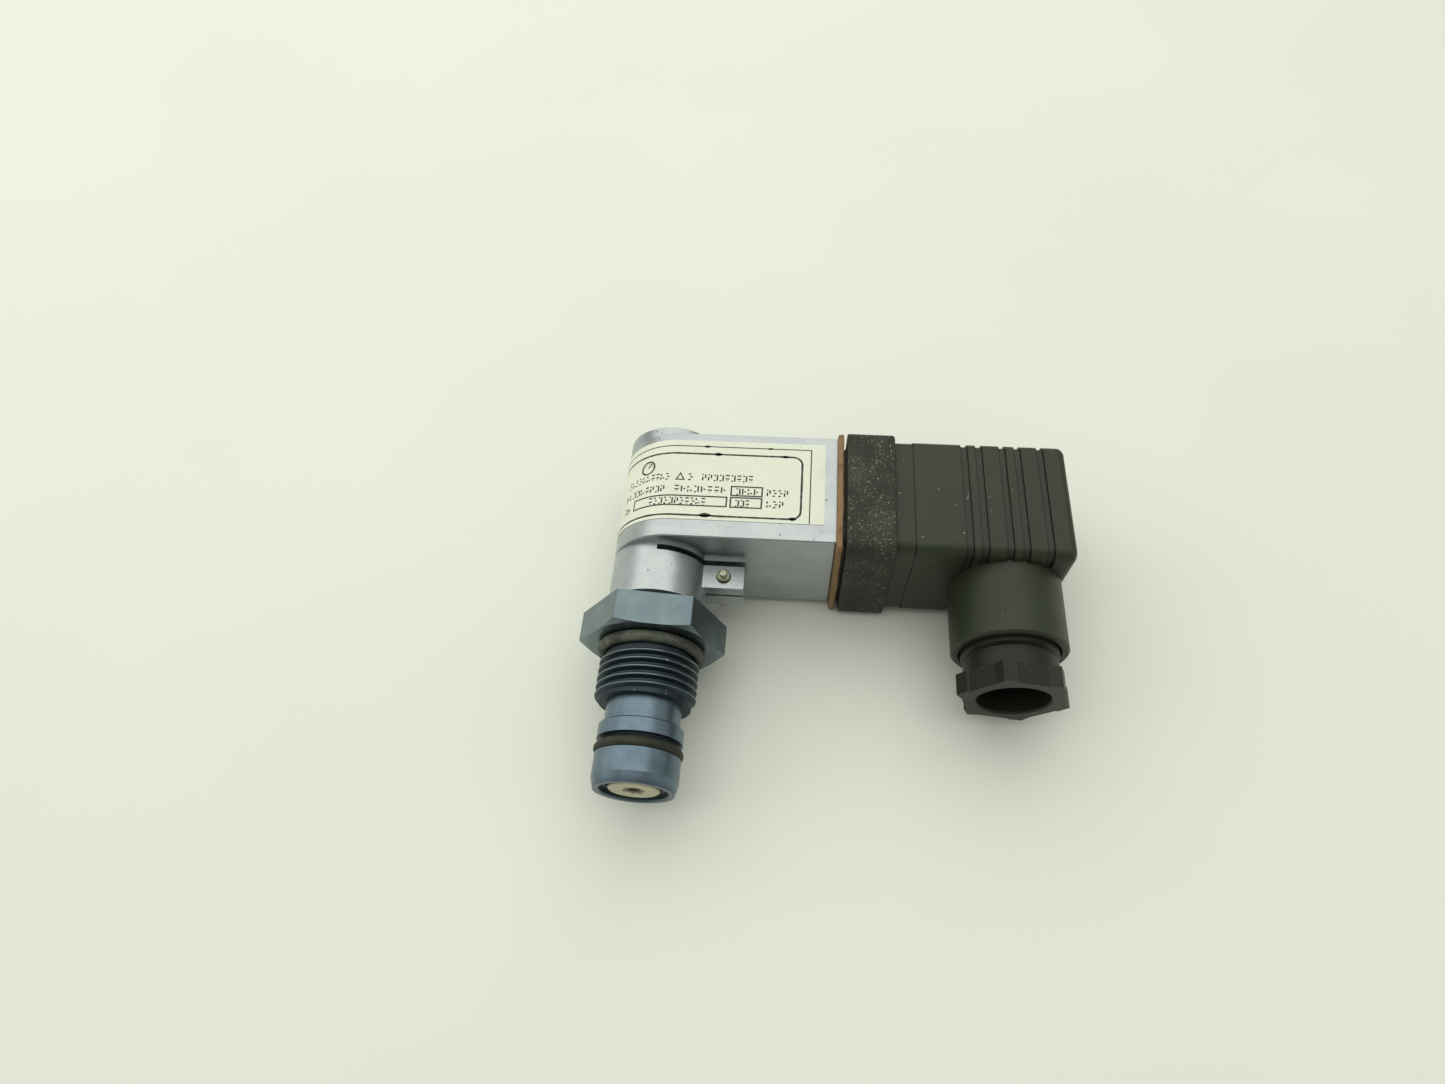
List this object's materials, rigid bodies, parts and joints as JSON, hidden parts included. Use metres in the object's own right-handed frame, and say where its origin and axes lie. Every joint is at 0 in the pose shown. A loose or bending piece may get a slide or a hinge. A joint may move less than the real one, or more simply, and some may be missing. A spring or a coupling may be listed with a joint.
{
  "type": "electrical differential pressure indicator",
  "caption": "Screw-in cartridge pressure indicator with a swivelling clamped head and a right-angle electrical cable plug.",
  "frame": {"origin": "on the cartridge axis, in the hex face that closes against the port", "axes": "Y along the cartridge away from the port, X towards the cable plug, Z out of the labelled face; the part lies on a bench with the label up"},
  "size_m": [0.1079, 0.0859, 0.0326],
  "materials": {
    "blue_anodised": "satin dark blue anodised",
    "silver_anodised": "brushed, clear anodised with a faint violet tint",
    "port_seal_rubber": "dusty black nitrile",
    "nose_seal_rubber": "brownish black rubber",
    "spring_steel": "phosphated spring steel",
    "cream_nylon": "moulded",
    "piston_steel": "ground",
    "magnet_alloy": "sintered",
    "screw_yellow_zinc": "yellow zinc plated",
    "screw_zinc": "zinc plated",
    "label_film": "printed film",
    "potting_resin": "cast resin",
    "lead_insulation": "pvc",
    "brown_gasket": "brown sheet rubber",
    "plug_plastic": "black glass-filled nylon",
    "boot_rubber": "black rubber, dusty",
    "grey_insert_plastic": "moulded nylon",
    "tinned_brass": "tinned"
  },
  "bodies": {
    "cartridge": {"cartridge_body": "blue_anodised", "port_o_ring": "port_seal_rubber", "nose_o_ring": "nose_seal_rubber", "retaining_ring": "spring_steel", "inlet_disc": "cream_nylon", "spring_guide": "piston_steel", "return_spring": "spring_steel"},
    "piston_group": {"piston": "piston_steel", "piston_seal": "nose_seal_rubber", "magnet": "magnet_alloy", "magnet_clip": "spring_steel"},
    "head": {"indicator_housing": "silver_anodised", "label": "label_film", "switch_capsule": "potting_resin", "switch_leads": "lead_insulation", "flange_gasket": "brown_gasket", "connector_base": "plug_plastic", "base_screws": "screw_zinc", "contact_blades": "tinned_brass", "earth_blade": "tinned_brass"},
    "clamp_bolt": {"clamp_screw": "screw_yellow_zinc"},
    "plug": {"socket_boot": "boot_rubber", "plug_housing": "plug_plastic", "terminal_insert": "grey_insert_plastic", "plug_sockets": "tinned_brass", "terminal_screws": "screw_zinc", "screw_seal": "boot_rubber", "gland_washer": "plug_plastic", "gland_grommet": "boot_rubber"},
    "centre_bolt": {"centre_screw": "screw_zinc"},
    "cable_nut": {"gland_nut": "plug_plastic"}
  },
  "joints": [
    {"name": "head_swivel", "type": "hinge", "parent": "cartridge", "child": "head", "pos_m": [0, 0.0155, 0], "axis": [0, 1, 0], "continuous": true},
    {"name": "piston_slide", "type": "slide", "parent": "cartridge", "child": "piston_group", "axis": [0, 1, 0], "range_m": [0, 0.0025], "stiffness_N_per_m": 2500, "springref_m": -0.0112, "deforming": ["return_spring"]},
    {"name": "clamp_screw_turn", "type": "hinge", "parent": "head", "child": "clamp_bolt", "pos_m": [0.01505, 0.0169, 0.00065], "axis": [0, 0, 1], "continuous": true},
    {"name": "plug_pull", "type": "slide", "parent": "head", "child": "plug", "axis": [1, 0, 0], "range_m": [0, 0.018]},
    {"name": "centre_screw_turn", "type": "hinge", "parent": "plug", "child": "centre_bolt", "pos_m": [0.08, 0.03525, 0], "axis": [1, 0, 0], "continuous": true},
    {"name": "gland_nut_turn", "type": "hinge", "parent": "plug", "child": "cable_nut", "pos_m": [0.0788, 0, 0], "axis": [0, 1, 0], "continuous": true}
  ]
}
